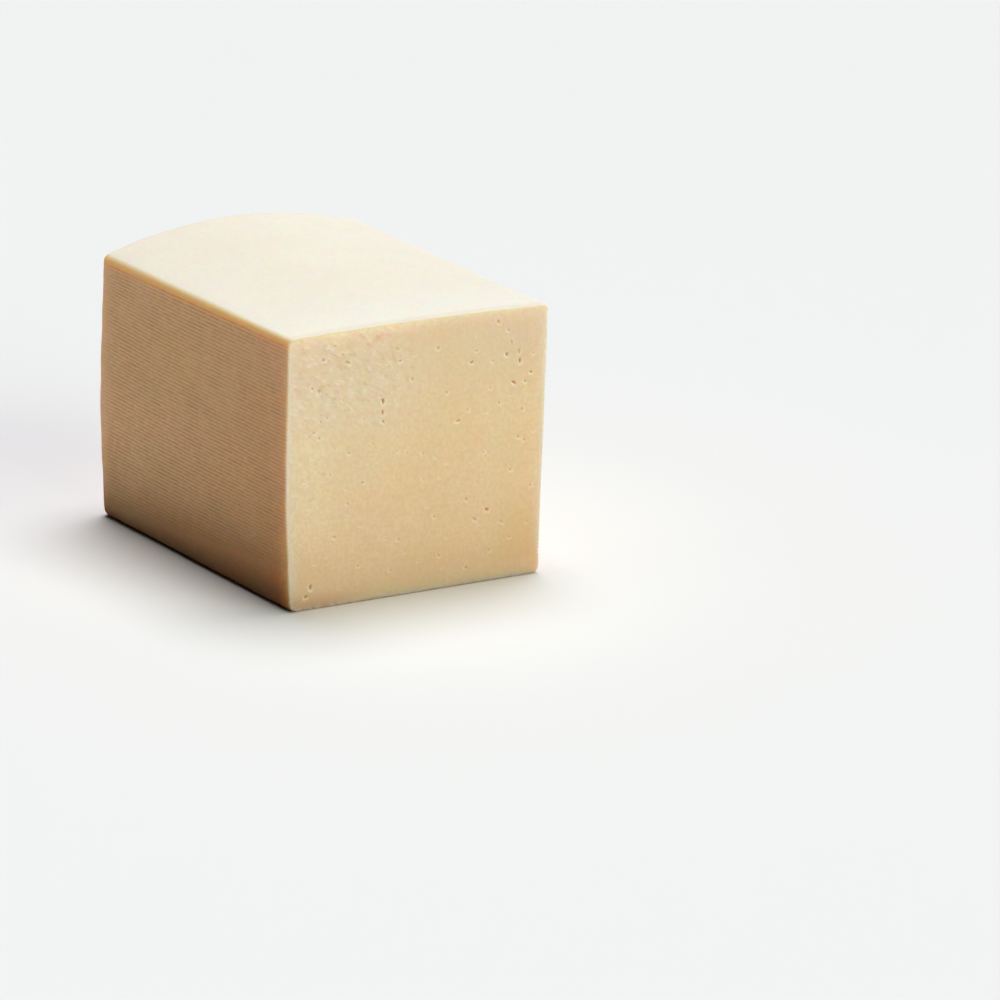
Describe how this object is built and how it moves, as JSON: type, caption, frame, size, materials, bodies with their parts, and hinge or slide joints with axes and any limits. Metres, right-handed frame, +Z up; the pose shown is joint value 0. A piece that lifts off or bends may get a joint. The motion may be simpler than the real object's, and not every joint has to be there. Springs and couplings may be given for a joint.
{
  "type": "havarti cheese block",
  "caption": "Block of havarti cut from a brick-shaped loaf: crowned smooth top, sides with fine mould ridges, and a flat knife-cut face with small irregular eyes.",
  "frame": {"origin": "middle of the block's footprint, on the flat base that it stands on", "axes": "+Z up, +Y along the loaf's length from the knife-cut face to the moulded end, +X to the right as seen facing the cut"},
  "size_m": [0.1196, 0.1462, 0.117],
  "materials": {
    "cheese": "smooth, slightly moist semi-soft cheese, pale butter yellow, translucent at the edges"
  },
  "bodies": {
    "root": {"havarti_block": "cheese"}
  },
  "joints": []
}
